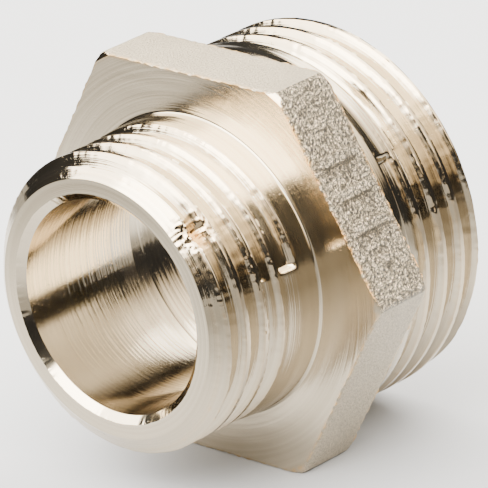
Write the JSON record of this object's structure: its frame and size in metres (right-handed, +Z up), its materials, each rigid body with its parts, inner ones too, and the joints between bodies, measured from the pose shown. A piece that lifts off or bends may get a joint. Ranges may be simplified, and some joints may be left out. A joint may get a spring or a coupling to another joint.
{
  "type": "reducing hex nipple",
  "caption": "Short nickel-plated brass pipe nipple: a spanner hexagon between two external threads of unequal size, with an open stepped passage.",
  "frame": {"origin": "on the flow axis, midway between the two end faces", "axes": "+X along the flow axis towards the large thread, +Z up, normal to the upper hex flat"},
  "size_m": [0.0234, 0.031, 0.027],
  "materials": {
    "turned_nickel": "nickel-plated, bright turned and threaded surfaces",
    "forged_nickel": "nickel-plated, turned end faces and shot-blasted forged flats"
  },
  "bodies": {
    "root": {"small_threaded_end": "turned_nickel", "hex_collar": "forged_nickel", "large_threaded_end": "turned_nickel"}
  },
  "joints": []
}
